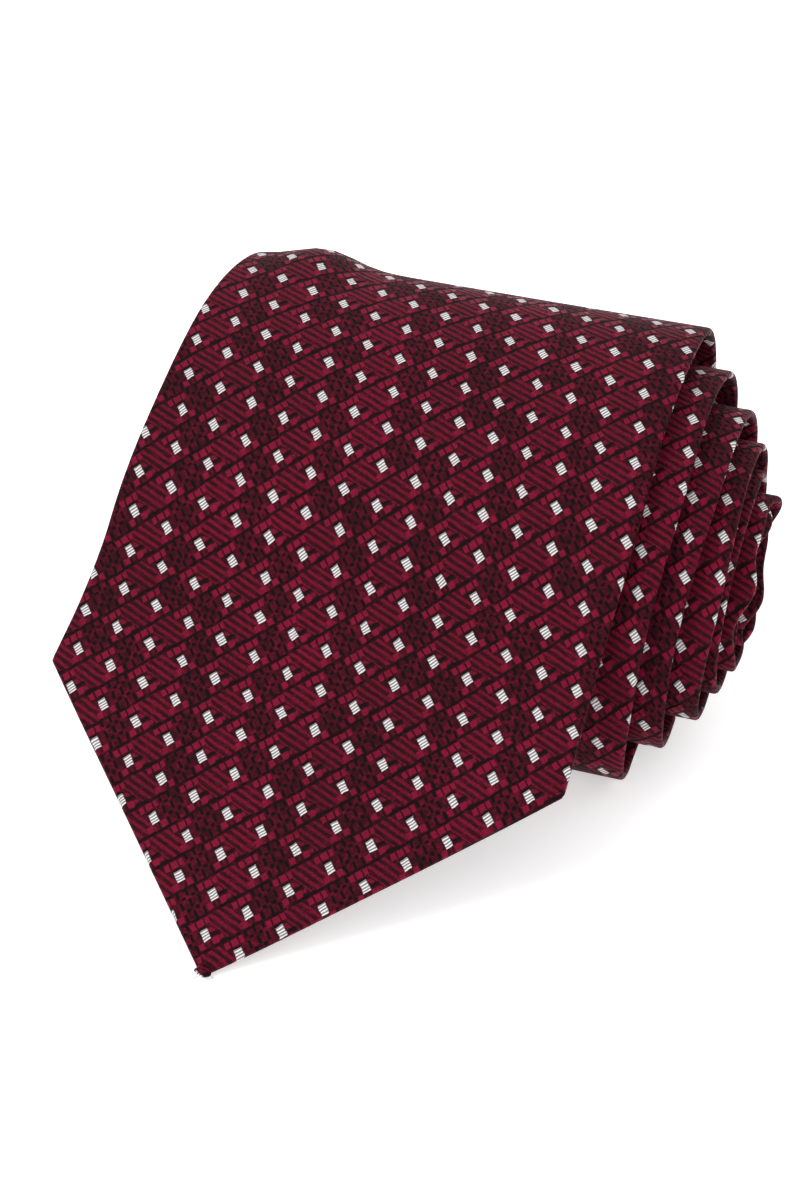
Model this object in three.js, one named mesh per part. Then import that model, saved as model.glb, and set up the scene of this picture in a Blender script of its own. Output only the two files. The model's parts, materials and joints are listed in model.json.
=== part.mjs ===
// A rolled necktie. X runs along the axis of the roll, Y from front to back, Z up; millimetres.
// The tie is folded in half at the neck and rolled from that fold, so each turn is two plies:
// the blade outside and the narrower tail inside it. The front end of the blade comes over the
// top of the roll and slopes down to the table, with the tail's end hidden under it.
import * as THREE from "three";
import { mergeVertices } from "three/addons/utils/BufferGeometryUtils.js";

// Widths of the tie, laid flat.
const BLADE_WIDTH = 80;
const TAIL_WIDTH = 46;
const NECK_WIDTH = 35;

// Thicknesses of one ply: cloth in front, interlining, cloth behind.
const PLY = 1.22;
const CLOTH = 0.28;
const TIPPING = 0.13;
const LAYER_GAP = 0.07;
const BETWEEN_PLIES = 0.2;

// The roll: an oval spiral that leans back, seen from its right end. Each turn out from the core
// adds two plies and their gaps, and the ovals' long ends stand off more with each turn.
const TURNS = 5.72;
const FACETS_PER_TURN = 20;
const BETWEEN_TURNS = 0.16;
const CORE_SHORT_RADIUS = 4.9;
const CORE_LONG_RADIUS = 11.6;
const LONG_END_SLACK = 0.366;
const LEAN = THREE.MathUtils.degToRad(33.2);
const ROLL_DEPTH = 82.4;
const FLATTENED_BY = 1.1;
const LEAVES_ROLL_AT = THREE.MathUtils.degToRad(116.4);

// The slope from the roll down to the blade's tip, a curve with two handles.
const SLOPE_STEPS = 9;
const TIP_ANGLE = THREE.MathUtils.degToRad(12.8);
const TIP_HANDLE = 12.6;
const ROLL_HANDLE = 9;

// How the band runs askew round the roll, and how far each turn steps to the right.
const SKEW = THREE.MathUtils.degToRad(2.67);
const STEP_PER_TURN = 2.2;

// Places along the tie, from the blade's tip unless they say otherwise.
const BLUNT_TIP = 1.2;
const TAIL_TIP_SHORT_BY = 26;
const FLAP_LENGTH = 100;
const HINGE_GAP = 0.3;
const BLADE_SEAM = 590;
const TAIL_SEAM_FROM_TAIL_TIP = 520;
const SEAM_ROOM = 0.8;
const SEAM_THREAD = 0.3;
const BLADE_TACK = 88;
const TAIL_TACK = 58;
const TACK_LENGTH = 5;
const HEM = 14;
const TIPPING_PAST_TACK = 4;
const BACK_SEAM_ROOM = 1;
const SLIP_THREAD = 0.5;
const THREAD_SUNK = 0.04;
const LINING_INSET = 0.28;
const LINING_FROM_TIP = 5;

// The keeper loop bridges the tail on the blade's back, at the roll's front end, where the turns stand apart.
const KEEPER_LENGTH = 11;
const KEEPER_CLOTH = 0.4;
const KEEPER_FOOT = 6;
const KEEPER_CLEARANCE = 1;

// The care label lies on the blade's back.
const LABEL_AT = 150;
const LABEL_LENGTH = 18;
const LABEL_WIDTH = 26;
const LABEL_CLOTH = 0.08;

const FACE = PLY / 2;
const LINING_FACE = FACE - CLOTH - LAYER_GAP;
const PLY_PITCH = PLY + BETWEEN_PLIES;
const TURN_PITCH = 2 * PLY + BETWEEN_PLIES + BETWEEN_TURNS;
const BLADE_HALF = BLADE_WIDTH / 2;
const TAIL_HALF = TAIL_WIDTH / 2;
const NECK_HALF = NECK_WIDTH / 2;

// ---- The side view of the blade's ply: points in the Y-Z plane ----

// The oval's point, about its own middle, after a number of turns inward from where the slope leaves it.
function ovalPoint(turns) {
  const angle = LEAVES_ROLL_AT - turns * 2 * Math.PI;
  const outward = TURNS - turns;
  const short = CORE_SHORT_RADIUS + TURN_PITCH * outward;
  const long = CORE_LONG_RADIUS + TURN_PITCH * outward + LONG_END_SLACK * outward ** 2;
  return new THREE.Vector2(long * Math.cos(angle), short * Math.sin(angle)).rotateAround(new THREE.Vector2(), LEAN);
}

// The table carries the roll and flattens its lowest turn a little.
const lowest = Math.min(...Array.from({ length: FACETS_PER_TURN }, (_, i) => ovalPoint(i / FACETS_PER_TURN).y));
const ROLL_HEIGHT = FACE - FLATTENED_BY - lowest;
function rollPoint(turns) {
  const point = ovalPoint(turns).add(new THREE.Vector2(ROLL_DEPTH, ROLL_HEIGHT));
  point.y = Math.max(point.y, FACE);
  return point;
}

function bladeSideView() {
  const start = rollPoint(0);
  const towards = rollPoint(0.01).sub(start).normalize();
  const tip = new THREE.Vector2(0, FACE);
  const tipHandle = new THREE.Vector2(Math.cos(TIP_ANGLE), Math.sin(TIP_ANGLE)).multiplyScalar(TIP_HANDLE);
  const slope = new THREE.CubicBezierCurve(
    tip,
    tip.clone().add(tipHandle),
    start.clone().addScaledVector(towards, -ROLL_HANDLE),
    start,
  );
  const points = slope.getSpacedPoints(SLOPE_STEPS).map((p) => ({ p, turns: 0 }));
  const steps = Math.round(TURNS * FACETS_PER_TURN);
  for (let i = 1; i <= steps; i++) {
    const turns = (i / steps) * TURNS;
    points.push({ p: rollPoint(turns), turns });
  }
  return points;
}

// The outward normal at a corner, longer than 1 so that offset facets stay parallel.
function mitre(before, here, after) {
  const side = (a, b) => new THREE.Vector2(a.y - b.y, b.x - a.x).normalize();
  const first = side(before ?? here, before ? here : after);
  const second = side(before && !after ? before : here, after ?? here);
  return first.clone().add(second).divideScalar(1 + first.dot(second));
}

const bladeSide = bladeSideView();
bladeSide.forEach((v, i) => {
  v.normal = mitre(bladeSide[i - 1]?.p, v.p, bladeSide[i + 1]?.p);
});

// ---- The whole tie's centre line: blade's tip, round the neck fold, tail's tip ----

const line = bladeSide.map((v) => ({ p: v.p.clone(), turns: v.turns }));
const FOLD_STEPS = 6;
const innermost = bladeSide[bladeSide.length - 1];
const inwardAlong = new THREE.Vector2(innermost.normal.y, -innermost.normal.x);
for (let i = 1; i < FOLD_STEPS; i++) {
  const angle = (i / FOLD_STEPS) * Math.PI;
  const p = innermost.p.clone().addScaledVector(innermost.normal, (PLY_PITCH / 2) * (Math.cos(angle) - 1));
  p.addScaledVector(inwardAlong, (PLY_PITCH / 2) * Math.sin(angle));
  line.push({ p, turns: TURNS });
}
let walked = 0;
let tailEnd = null;
for (let i = 0; i + 1 < bladeSide.length && !tailEnd; i++) {
  const step = bladeSide[i].p.distanceTo(bladeSide[i + 1].p);
  if (walked + step > TAIL_TIP_SHORT_BY) {
    const share = (TAIL_TIP_SHORT_BY - walked) / step;
    tailEnd = {
      p: bladeSide[i].p.clone().lerp(bladeSide[i + 1].p, share),
      normal: bladeSide[i].normal.clone().lerp(bladeSide[i + 1].normal, share),
      turns: 0,
      next: i + 1,
    };
  }
  walked += step;
}
const underBlade = (v) => ({ p: v.p.clone().addScaledVector(v.normal, -PLY_PITCH), turns: v.turns });
for (let i = bladeSide.length - 1; i >= tailEnd.next; i--) line.push(underBlade(bladeSide[i]));
line.push(underBlade(tailEnd));
line.forEach((v, i) => {
  v.normal = mitre(line[i - 1]?.p, v.p, line[i + 1]?.p);
  v.along = i ? line[i - 1].along + v.p.distanceTo(line[i - 1].p) : 0;
});
const FOLD_START = line[bladeSide.length - 1].along;
const FOLD_END = line[bladeSide.length - 1 + FOLD_STEPS].along;
const TIE_LENGTH = line[line.length - 1].along;
const TAIL_CUT = TIE_LENGTH - tailAlongAt(FLAP_LENGTH);

// The place along the blade that is a number of turns into the roll.
function placeAtTurns(turns) {
  const i = line.findIndex((v) => v.turns >= turns);
  const share = (turns - line[i - 1].turns) / (line[i].turns - line[i - 1].turns);
  return THREE.MathUtils.lerp(line[i - 1].along, line[i].along, share);
}

// How far the tail's own tip is from the point of the tail that lies under the blade at a place.
function tailAlongAt(bladePlace) {
  const i = line.findIndex((v) => v.along >= bladePlace);
  const share = (bladePlace - line[i - 1].along) / (line[i].along - line[i - 1].along);
  const mirror = (k) => 2 * (bladeSide.length - 1) + FOLD_STEPS - k;
  return TIE_LENGTH - THREE.MathUtils.lerp(line[mirror(i - 1)].along, line[mirror(i)].along, share);
}

// ---- Widths ----

const taper = (half, length) => (q) => (q < half ? q : half - ((half - NECK_HALF) * (q - half)) / (length - half));
const bladeHalfWidth = taper(BLADE_HALF, FOLD_START);
const tailHalfWidth = taper(TAIL_HALF, TIE_LENGTH - FOLD_END);

// The X of a band's edge (side -1 or 1) or middle (side 0) a distance from its tip, measured up the roll.
function askew(distance, side, halfWidth) {
  let q = distance;
  for (let i = 0; i < 6; i++) q = (distance + side * halfWidth(q) * Math.sin(SKEW)) / Math.cos(SKEW);
  return side * halfWidth(q) * Math.cos(SKEW) + q * Math.sin(SKEW);
}
const foldMiddle = askew(FOLD_START, 0, bladeHalfWidth);
const tailShift = foldMiddle - askew(TIE_LENGTH - FOLD_END, 0, tailHalfWidth);

function bladeX(along, side) {
  return askew(along, side, bladeHalfWidth);
}
function tailX(along, side) {
  return tailShift + askew(TIE_LENGTH - along, side, tailHalfWidth);
}
function bandX(along, side) {
  if (along <= FOLD_START) return bladeX(along, side);
  if (along >= FOLD_END) return tailX(along, side);
  const share = (along - FOLD_START) / (FOLD_END - FOLD_START);
  return THREE.MathUtils.lerp(bladeX(FOLD_START, side), tailX(FOLD_END, side), share);
}

// The tie's frame at a place along its centre line.
function at(along) {
  let i = line.findIndex((v) => v.along >= along);
  if (i < 1) i = i === 0 ? 1 : line.length - 1;
  const [a, b] = [line[i - 1], line[i]];
  const share = (along - a.along) / (b.along - a.along);
  const shift = STEP_PER_TURN * THREE.MathUtils.lerp(a.turns, b.turns, share);
  return {
    along,
    point: a.p.clone().lerp(b.p, share),
    normal: a.normal.clone().lerp(b.normal, share),
    left: bandX(along, -1) + shift,
    right: bandX(along, 1) + shift,
    middle: bandX(along, 0) + shift,
  };
}

function placesBetween(from, to, extra = []) {
  const shortest = 0.02;
  const inside = line.map((v) => v.along).concat(extra);
  const kept = inside.filter((a) => a > from + shortest && a < to - shortest).sort((a, b) => a - b);
  return [from, ...kept, to].filter((a, i, all) => i === 0 || a - all[i - 1] > shortest / 2);
}

// ---- Solids ----

// A closed solid through a row of outlines with the same number of corners.
function loft(outlines) {
  const corners = outlines[0].length;
  const positions = [];
  const faces = [];
  for (const outline of outlines) for (const c of outline) positions.push(c.x, c.y, c.z);
  for (let i = 0; i + 1 < outlines.length; i++) {
    for (let k = 0; k < corners; k++) {
      const next = (k + 1) % corners;
      const [a, b] = [i * corners + k, i * corners + next];
      const [c, d] = [a + corners, b + corners];
      faces.push(a, b, d, a, d, c);
    }
  }
  const flat = outlines[0].map((c) => new THREE.Vector2(c.across, c.out));
  const last = (outlines.length - 1) * corners;
  for (const [a, b, c] of THREE.ShapeUtils.triangulateShape(flat, [])) {
    faces.push(a, b, c, last + a, last + c, last + b);
  }
  const geometry = new THREE.BufferGeometry();
  geometry.setAttribute("position", new THREE.Float32BufferAttribute(positions, 3));
  geometry.setIndex(faces);
  return outward(geometry);
}

// The same solid with its faces turned out.
function outward(geometry) {
  const p = geometry.getAttribute("position");
  const index = geometry.getIndex();
  const corner = (i) => new THREE.Vector3().fromBufferAttribute(p, index.getX(i));
  let volume = 0;
  for (let i = 0; i < index.count; i += 3) volume += corner(i).dot(corner(i + 1).cross(corner(i + 2)));
  if (volume < 0) {
    for (let i = 0; i < index.count; i += 3) {
      const second = index.getX(i + 1);
      index.setX(i + 1, index.getX(i + 2));
      index.setX(i + 2, second);
    }
  }
  return geometry;
}

// A strip along the tie: section(frame) gives its outline as pairs of X and height over the middle of the ply.
function strip(from, to, section, extra) {
  const outlines = placesBetween(from, to, extra).map((along) => {
    const frame = at(along);
    return section(frame).map(([across, out]) => ({
      across,
      out,
      x: across,
      y: frame.point.x + frame.normal.x * out,
      z: frame.point.y + frame.normal.y * out,
    }));
  });
  return loft(outlines);
}

// How far the folded edges at the back stand apart, from the middle, at a distance from the tip.
function backOpening(distance, half, tack) {
  const seam = BACK_SEAM_ROOM / 2;
  const widest = half - HEM;
  const opening = distance < half ? distance - HEM : (widest * (tack - distance)) / (tack - half);
  return Math.max(seam, Math.min(opening, widest));
}

// The cloth: a front panel whose two edges fold round to meet at the middle of the back.
function shellSection(frame) {
  const fromTip = Math.min(frame.along, TIE_LENGTH - frame.along);
  const onBlade = frame.along < FOLD_START;
  let open = onBlade ? backOpening(fromTip, BLADE_HALF, BLADE_TACK) : backOpening(fromTip, TAIL_HALF, TAIL_TACK);
  const narrow = Math.min(frame.right - frame.middle, frame.middle - frame.left) - CLOTH;
  open = Math.min(open, narrow / 2);
  const { left, right, middle } = frame;
  return [
    [left, FACE],
    [right, FACE],
    [right, -FACE],
    [middle + open, -FACE],
    [middle + open, CLOTH - FACE],
    [right - CLOTH, CLOTH - FACE],
    [right - CLOTH, FACE - CLOTH],
    [left + CLOTH, FACE - CLOTH],
    [left + CLOTH, CLOTH - FACE],
    [middle - open, CLOTH - FACE],
    [middle - open, -FACE],
    [left, -FACE],
  ];
}

function slab(left, right, low, high) {
  return [
    [left, high],
    [right, high],
    [right, low],
    [left, low],
  ];
}

// A layer inside the cloth between two heights.
function innerLayer(low, high) {
  const inset = CLOTH + LINING_INSET;
  return (frame) => slab(frame.left + inset, frame.right - inset, low, high);
}
const fullInterlining = innerLayer(-LINING_FACE, LINING_FACE);
const tippedInterlining = innerLayer(-LINING_FACE + TIPPING + LAYER_GAP, LINING_FACE);
const tippingLayer = innerLayer(-LINING_FACE, -LINING_FACE + TIPPING);

// A thread in the gap between the back's two folded edges.
const seamThread = (frame) =>
  slab(
    frame.middle - SLIP_THREAD / 2,
    frame.middle + SLIP_THREAD / 2,
    THREAD_SUNK - FACE,
    CLOTH - THREAD_SUNK - FACE,
  );

function keeperSection(frame) {
  const tail = at(TIE_LENGTH - tailAlongAt(frame.along));
  const left = tail.left - KEEPER_CLEARANCE;
  const right = tail.right + KEEPER_CLEARANCE;
  const foot = -FACE - BETWEEN_PLIES;
  const bridge = -FACE - BETWEEN_PLIES - PLY - BETWEEN_PLIES;
  return [
    [left - KEEPER_FOOT, foot],
    [left, foot],
    [left, bridge],
    [right, bridge],
    [right, foot],
    [right + KEEPER_FOOT, foot],
    [right + KEEPER_FOOT, foot - KEEPER_CLOTH],
    [right + KEEPER_CLOTH, foot - KEEPER_CLOTH],
    [right + KEEPER_CLOTH, bridge - KEEPER_CLOTH],
    [left - KEEPER_CLOTH, bridge - KEEPER_CLOTH],
    [left - KEEPER_CLOTH, foot - KEEPER_CLOTH],
    [left - KEEPER_FOOT, foot - KEEPER_CLOTH],
  ];
}

function labelSection(frame) {
  const top = -FACE - (BETWEEN_PLIES - LABEL_CLOTH) / 2;
  return slab(frame.middle - LABEL_WIDTH / 2, frame.middle + LABEL_WIDTH / 2, top - LABEL_CLOTH, top);
}

// ---- The pieces ----

const finish = (color, roughness) => new THREE.MeshStandardMaterial({ color, roughness, metalness: 0 });
const jacquard = finish(0x6a1c33, 0.55);
const wool = finish(0xd9d2c4, 0.95);
const lining = finish(0x24262a, 0.45);
const thread = finish(0x4a1524, 0.6);
const satin = finish(0x1d1d20, 0.5);

const tie = new THREE.Group();
function piece(name, geometry, material) {
  const mesh = new THREE.Mesh(geometry, material);
  mesh.name = name;
  tie.add(mesh);
}

const seamHalf = SEAM_ROOM / 2;
const tailSeam = TIE_LENGTH - TAIL_SEAM_FROM_TAIL_TIP;
const flapEnd = FLAP_LENGTH - HINGE_GAP / 2;
const rollStart = FLAP_LENGTH + HINGE_GAP / 2;
const tailFlapEnd = TAIL_CUT + HINGE_GAP / 2;
const tailRollEnd = TAIL_CUT - HINGE_GAP / 2;
const bladeCorners = [BLADE_HALF * (1 - Math.sin(SKEW)), BLADE_HALF * (1 + Math.sin(SKEW)), HEM, BLADE_TACK];
const tailCorners = [TAIL_HALF * (1 - Math.sin(SKEW)), TAIL_HALF * (1 + Math.sin(SKEW)), HEM, TAIL_TACK].map(
  (d) => TIE_LENGTH - d,
);

piece("blade_flap_shell", strip(BLUNT_TIP, flapEnd, shellSection, bladeCorners), jacquard);
piece("blade_shell", strip(rollStart, BLADE_SEAM - seamHalf, shellSection), jacquard);
piece("neck_shell", strip(BLADE_SEAM + seamHalf, tailSeam - seamHalf, shellSection), jacquard);
piece("tail_shell", strip(tailSeam + seamHalf, tailRollEnd, shellSection), jacquard);
piece("tail_flap_shell", strip(tailFlapEnd, TIE_LENGTH - BLUNT_TIP, shellSection, tailCorners), jacquard);

piece("blade_flap_interlining", strip(LINING_FROM_TIP, flapEnd, tippedInterlining, bladeCorners), wool);
piece("interlining", strip(rollStart, tailRollEnd, fullInterlining), wool);
piece("tail_flap_interlining", strip(tailFlapEnd, TIE_LENGTH - LINING_FROM_TIP, tippedInterlining, tailCorners), wool);

const bladeTippingEnd = BLADE_TACK + TACK_LENGTH + TIPPING_PAST_TACK;
const tailTippingEnd = TIE_LENGTH - TAIL_TACK - TACK_LENGTH - TIPPING_PAST_TACK;
piece("blade_tipping", strip(LINING_FROM_TIP, bladeTippingEnd, tippingLayer, bladeCorners), lining);
piece("tail_tipping", strip(tailTippingEnd, TIE_LENGTH - LINING_FROM_TIP, tippingLayer, tailCorners), lining);

piece("blade_bar_tack", strip(BLADE_TACK, BLADE_TACK + TACK_LENGTH, seamThread), thread);
piece("tail_bar_tack", strip(TIE_LENGTH - TAIL_TACK - TACK_LENGTH, TIE_LENGTH - TAIL_TACK, seamThread), thread);
piece("slip_stitch_thread", strip(rollStart, tailRollEnd, seamThread), thread);

const seamStitch = (place) => strip(place - SEAM_THREAD / 2, place + SEAM_THREAD / 2, shellSection);
piece("blade_seam_stitching", seamStitch(BLADE_SEAM), thread);
piece("tail_seam_stitching", seamStitch(tailSeam), thread);

const turnsToFrontEnd = (LEAVES_ROLL_AT + Math.PI) / (2 * Math.PI);
const keeperStart = placeAtTurns(turnsToFrontEnd) - KEEPER_LENGTH / 2;
piece("keeper_loop", strip(keeperStart, keeperStart + KEEPER_LENGTH, keeperSection), jacquard);
piece("care_label", strip(LABEL_AT, LABEL_AT + LABEL_LENGTH, labelSection), satin);

for (const mesh of tie.children) mesh.geometry = mergeVertices(mesh.geometry);

// The origin is under the middle of the whole, on the table.
const whole = new THREE.Box3().setFromObject(tie);
const middle = whole.getCenter(new THREE.Vector3());
tie.position.set(-middle.x, -middle.y, -whole.min.z);

export default tie;
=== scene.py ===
"""A rolled necktie: bias-cut woven cloth round an interlining, folded in half and rolled from the fold.

Every layer follows one line, the middle of the tie's thickness seen from the side, as in the part's source.
Sizes are in millimetres until a mesh is made.
"""
import json
import math

import bpy
import numpy as np
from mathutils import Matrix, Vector


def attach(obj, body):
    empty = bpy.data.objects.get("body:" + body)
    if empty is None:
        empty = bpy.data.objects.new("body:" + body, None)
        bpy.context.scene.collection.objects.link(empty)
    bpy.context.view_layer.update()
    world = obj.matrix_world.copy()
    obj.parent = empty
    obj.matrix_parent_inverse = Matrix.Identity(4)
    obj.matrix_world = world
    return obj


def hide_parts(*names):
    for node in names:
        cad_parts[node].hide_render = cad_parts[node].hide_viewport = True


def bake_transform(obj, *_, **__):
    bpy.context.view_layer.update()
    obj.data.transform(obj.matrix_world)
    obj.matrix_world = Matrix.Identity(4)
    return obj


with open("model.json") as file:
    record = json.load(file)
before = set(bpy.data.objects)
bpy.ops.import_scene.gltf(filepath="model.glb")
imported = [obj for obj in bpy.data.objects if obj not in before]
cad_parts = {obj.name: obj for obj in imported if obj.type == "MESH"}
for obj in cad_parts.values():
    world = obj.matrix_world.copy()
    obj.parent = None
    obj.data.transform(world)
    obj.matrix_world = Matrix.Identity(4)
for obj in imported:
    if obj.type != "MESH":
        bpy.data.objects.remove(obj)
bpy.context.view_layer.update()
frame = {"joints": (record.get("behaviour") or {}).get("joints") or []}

MM = 0.001

# ---- Sizes, as in the part's source ----

BLADE_WIDTH = 80
TAIL_WIDTH = 46
NECK_WIDTH = 35
PLY = 1.22
CLOTH = 0.28
TIPPING = 0.13
LAYER_GAP = 0.07
BETWEEN_PLIES = 0.2
TURNS = 5.72
BETWEEN_TURNS = 0.16
CORE_SHORT_RADIUS = 4.9
CORE_LONG_RADIUS = 11.6
LONG_END_SLACK = 0.366
LEAN = math.radians(33.2)
ROLL_DEPTH = 82.4
FLATTENED_BY = 1.1
LEAVES_ROLL_AT = math.radians(116.4)
TIP_ANGLE = math.radians(12.8)
TIP_HANDLE = 12.6
ROLL_HANDLE = 9
SKEW = math.radians(2.67)
STEP_PER_TURN = 2.2
STEPPING_TURNS = 3
STEP_BACK_PER_TURN = 0.4
TAIL_TIP_SHORT_BY = 26
FLAP_LENGTH = 100
BLADE_SEAM = 590
TAIL_SEAM_FROM_TAIL_TIP = 520
BLADE_TACK = 88
TAIL_TACK = 58
TACK_LENGTH = 5
HEM = 14
TIPPING_PAST_TACK = 4
BACK_SEAM_ROOM = 1
LINING_INSET = 0.28
LINING_FROM_TIP = 5
KEEPER_LENGTH = 11
KEEPER_CLOTH = 0.4
KEEPER_FOOT = 6
KEEPER_CLEARANCE = 1
LABEL_AT = 150
LABEL_LENGTH = 18
LABEL_WIDTH = 26
LABEL_CLOTH = 0.08

FACE = PLY / 2
LINING_FACE = FACE - CLOTH - LAYER_GAP
PLY_PITCH = PLY + BETWEEN_PLIES
TURN_PITCH = 2 * PLY + BETWEEN_PLIES + BETWEEN_TURNS
BLADE_HALF = BLADE_WIDTH / 2
TAIL_HALF = TAIL_WIDTH / 2
NECK_HALF = NECK_WIDTH / 2

# How finely the cloth is drawn.
SLOPE_STEPS = 84
STEPS_PER_TURN = 90
FOLD_STEPS = 10
EDGE_STEPS = 7
FRONT_STEPS = 26

# The front cloth, which lies on the flap, ends here along the tie; the two places after it are passed on when a
# front piece is made, and nothing uses them.
BENDING_END = 140
BEND_STARTS = 116
BEND_ENDS = 80

# The jacquard's repeat: a step to the next square, a step over two rows, and where one square lies,
# each as (across, up) from the blade's tip.
NEXT_SQUARE = (4.468, 4.835)
TWO_ROWS_DOWN = (6.938, -7.348)
A_SQUARE = (-29.50, 35.32)
ROWS_IN_REPEAT = 6


# ---- The tie's line, seen from the side ----

def oval_point(turns):
    angle = LEAVES_ROLL_AT - turns * 2 * math.pi
    outward = TURNS - turns
    short = CORE_SHORT_RADIUS + TURN_PITCH * outward
    long = CORE_LONG_RADIUS + TURN_PITCH * outward + LONG_END_SLACK * outward**2
    y, z = long * math.cos(angle), short * math.sin(angle)
    return np.array([
        y * math.cos(LEAN) - z * math.sin(LEAN),
        y * math.sin(LEAN) + z * math.cos(LEAN),
    ])


LOWEST = min(oval_point(i / 20)[1] for i in range(20))
ROLL_HEIGHT = FACE - FLATTENED_BY - LOWEST


def roll_point(turns):
    y, z = oval_point(turns) + (ROLL_DEPTH, ROLL_HEIGHT)
    return np.array([y, max(z, FACE)])


def slope_points():
    """The blade from its tip on the table up to the roll, evenly spaced along a curve with two handles."""
    start = roll_point(0)
    towards = roll_point(0.01) - start
    towards /= np.linalg.norm(towards)
    tip = np.array([0, FACE])
    handle = tip + TIP_HANDLE * np.array([math.cos(TIP_ANGLE), math.sin(TIP_ANGLE)])
    corners = [tip, handle, start - ROLL_HANDLE * towards, start]
    t = np.linspace(0, 1, 2001)[:, None]
    weights = [(1 - t) ** 3, 3 * t * (1 - t) ** 2, 3 * t**2 * (1 - t), t**3]
    curve = sum(w * c for w, c in zip(weights, corners))
    walked = distances(curve)
    even = np.linspace(0, walked[-1], SLOPE_STEPS + 1)
    return np.column_stack([np.interp(even, walked, curve[:, k]) for k in range(2)])


def distances(points):
    """How far along a row of points each one is."""
    steps = np.linalg.norm(np.diff(points, axis=0), axis=1)
    return np.concatenate([[0], np.cumsum(steps)])


def normals_of(points):
    """The unit normals on the left of a row of points."""
    ahead = np.gradient(points, axis=0)
    ahead /= np.linalg.norm(ahead, axis=1)[:, None]
    return np.column_stack([-ahead[:, 1], ahead[:, 0]])


class TieLine:
    """The middle of the tie's thickness, from the blade's tip round the neck fold to the tail's tip."""

    def __init__(self):
        slope = slope_points()
        roll_turns = np.linspace(0, TURNS, round(TURNS * STEPS_PER_TURN) + 1)[1:]
        roll = np.array([roll_point(t) for t in roll_turns])
        blade = np.vstack([slope, roll])
        turns = np.concatenate([np.zeros(len(slope)), roll_turns])
        out = normals_of(blade)
        inner, outward = blade[-1], out[-1]
        onward = np.array([outward[1], -outward[0]])
        half_turn = np.linspace(0, math.pi, FOLD_STEPS + 1)[1:-1, None]
        radius = PLY_PITCH / 2
        fold = inner + radius * outward * (np.cos(half_turn) - 1) + radius * onward * np.sin(half_turn)
        walked = distances(blade)
        kept = walked > TAIL_TIP_SHORT_BY
        tail = (blade - PLY_PITCH * out)[kept][::-1]
        points = np.vstack([blade, fold, tail])
        self.points = points
        self.turns = np.concatenate([turns, np.full(len(fold), TURNS), turns[kept][::-1]])
        self.normals = normals_of(points)
        self.along = distances(points)
        self.fold_start = self.along[len(blade) - 1]
        self.fold_end = self.along[len(blade) + len(fold)]
        self.length = self.along[-1]
        self.blade_walked = walked
        self.tail_from = (self.along[len(blade) + len(fold):], walked[kept][::-1])

    def tail_place_under(self, blade_place):
        """The place on the tail that lies under a place on the blade."""
        along, over = self.tail_from
        return float(np.interp(blade_place, over[::-1], along[::-1]))

    def blade_place_over(self, along):
        """The place on the blade that lies over a place on the tail, or the place itself on the blade."""
        if along <= self.fold_end:
            return along
        return float(np.interp(along, *self.tail_from))

    def place_at_turns(self, turns):
        first_half = self.along <= self.fold_start
        return float(np.interp(turns, self.turns[first_half], self.along[first_half]))

    def between(self, start, end, extra=()):
        """The places to draw from start to end."""
        inside = [a for a in (*self.along, *extra) if start + 0.05 < a < end - 0.05]
        places = np.unique(np.array([start, *inside, end]))
        far = np.concatenate([[True], np.diff(places) > 0.02])
        return places[far]

    def at(self, along):
        """The side view's point, normal and turns at a place, with the band's edges and middle in X."""
        def read(row):
            return float(np.interp(along, self.along, row))
        shift = turn_shift(read(self.turns))
        left, middle, right = (band_x(self, along, side) + shift for side in (-1, 0, 1))
        normal = np.array([read(self.normals[:, k]) for k in range(2)])
        return Place(
            along,
            np.array([read(self.points[:, k]) for k in range(2)]),
            normal / np.linalg.norm(normal),
            shift, left, middle, right, read(self.turns),
        )


def turn_shift(turns):
    """How far a turn stands to the right of the outermost one.

    The plain solids step right at every turn. The cloth here stops doing so after STEPPING_TURNS and
    steps back, so towards the core it lies up to about 7 mm to the left of them.
    """
    stepping = min(turns, STEPPING_TURNS)
    return STEP_PER_TURN * stepping - STEP_BACK_PER_TURN * (turns - stepping)


class Place:
    """Where the tie is at one distance along it."""

    def __init__(self, along, point, normal, shift, left, middle, right, turns):
        self.turns = turns
        self.along = along
        self.point = point
        self.normal = normal
        self.shift = shift
        self.left = left
        self.middle = middle
        self.right = right


def half_width(distance, half, length):
    if distance < half:
        return distance
    return half - (half - NECK_HALF) * (distance - half) / (length - half)


def askew(distance, side, half, length):
    """The X of a band's edge or middle at a distance up the roll, since the band runs a little askew."""
    q = distance
    for _ in range(6):
        q = (distance + side * half_width(q, half, length) * math.sin(SKEW)) / math.cos(SKEW)
    return side * half_width(q, half, length) * math.cos(SKEW) + q * math.sin(SKEW)


def band_x(line, along, side):
    tail_length = line.length - line.fold_end

    def blade_x(place, s):
        return askew(place, s, BLADE_HALF, line.fold_start)

    def tail_x(place, s):
        meet = blade_x(line.fold_start, 0) - askew(tail_length, 0, TAIL_HALF, tail_length)
        return meet + askew(line.length - place, s, TAIL_HALF, tail_length)

    if along <= line.fold_start:
        return blade_x(along, side)
    if along >= line.fold_end:
        return tail_x(along, side)
    share = (along - line.fold_start) / (line.fold_end - line.fold_start)
    return (1 - share) * blade_x(line.fold_start, side) + share * tail_x(line.fold_end, side)


LINE = TieLine()
TAIL_SEAM = LINE.length - TAIL_SEAM_FROM_TAIL_TIP
TAIL_BENDING_END = LINE.tail_place_under(BENDING_END)


def row_frame_shift():
    """From the tie's own frame, where the blade's tip is at X 0 and Y 0, to the part's frame."""
    hinge = next(j for j in frame["joints"] if j["name"] == "flap_lift")
    own = LINE.at(FLAP_LENGTH)
    surface = own.point + FACE * own.normal
    middle_x = (own.left + own.right) / 2
    x, y, z = (v / MM for v in hinge["pos_m"])
    return np.array([x - middle_x, y - surface[0], z - surface[1]])


SHIFT = row_frame_shift()


# ---- How the cloth lies, over the plain layers ----

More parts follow.
